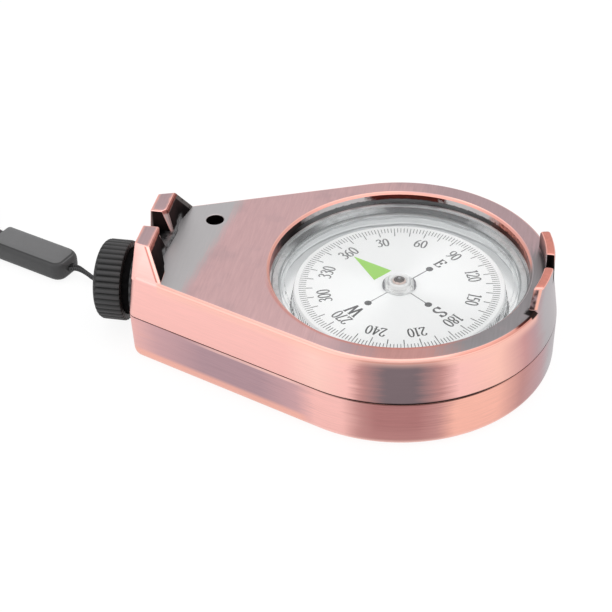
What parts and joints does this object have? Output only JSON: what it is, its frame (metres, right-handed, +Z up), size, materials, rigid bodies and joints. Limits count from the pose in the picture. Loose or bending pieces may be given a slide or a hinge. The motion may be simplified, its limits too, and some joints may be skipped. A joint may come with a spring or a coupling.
{
  "type": "pocket compass",
  "caption": "Teardrop metal pocket compass with open sights, a floating dial in a clear capsule, a focusing side eyepiece and a wrist lanyard.",
  "frame": {"origin": "the dial's pivot axis where it meets the surface that the case rests on", "axes": "+X towards the front sight, opposite the eyepiece; +Z up out of the dial; +Y completes the right-handed frame"},
  "size_m": [0.1606, 0.0741, 0.0251],
  "materials": {
    "copper_finish": "finely brushed, copper-pink anodised",
    "screw_steel": "bright turned",
    "magnet_steel": "dark ground",
    "clear_plastic": "clear moulded",
    "window_plastic": "clear polished",
    "card_white": "satin white, printed",
    "jewel": "polished",
    "pivot_brass": "turned",
    "black_plastic": "satin, straight knurl on the ring",
    "sleeve_plastic": "satin",
    "lens_glass": "polished",
    "black_rubber": "matte",
    "lanyard_cord": "braided polyester"
  },
  "bodies": {
    "case": {"upper_shell": "copper_finish", "lower_shell": "copper_finish", "case_screw_1": "screw_steel", "case_screw_2": "screw_steel", "case_screw_3": "screw_steel", "index_plate": "clear_plastic", "capsule_pad": "black_rubber", "capsule_cup": "clear_plastic", "capsule_seal": "black_rubber", "capsule_window": "window_plastic", "pivot_post": "pivot_brass", "pivot_pin": "screw_steel", "eyepiece_barrel": "black_plastic", "lanyard_thread": "lanyard_cord", "lanyard_sleeve": "sleeve_plastic", "cord_crimp": "pivot_brass", "wrist_cord_run_1": "lanyard_cord", "wrist_cord_run_2": "lanyard_cord", "wrist_cord_coil": "lanyard_cord", "cord_tie": "black_rubber"},
    "dial": {"compass_card": "card_white", "card_hub": "clear_plastic", "jewel_bearing": "jewel", "card_magnet_1": "magnet_steel", "card_magnet_2": "magnet_steel"},
    "lens_slide": {"lens_cell": "black_plastic", "eyepiece_lens": "lens_glass", "lens_retainer": "black_plastic"},
    "focus_knob": {"focus_ring": "black_plastic"}
  },
  "joints": [
    {"name": "dial_spin", "type": "hinge", "parent": "case", "child": "dial", "pos_m": [0, 0, 0.0145], "axis": [0, 0, 1], "continuous": true},
    {"name": "focus_slide", "type": "slide", "parent": "case", "child": "lens_slide", "axis": [1, 0, 0], "range_m": [-0.001, 0.0011]},
    {"name": "focus_turn", "type": "hinge", "parent": "lens_slide", "child": "focus_knob", "pos_m": [-0.05645, 0, 0.00955], "axis": [1, 0, 0], "range_deg": [-120, 132]}
  ],
  "couplings": [
    {"joint": "focus_turn", "follows": "focus_slide", "rad_per_m": 2094}
  ]
}
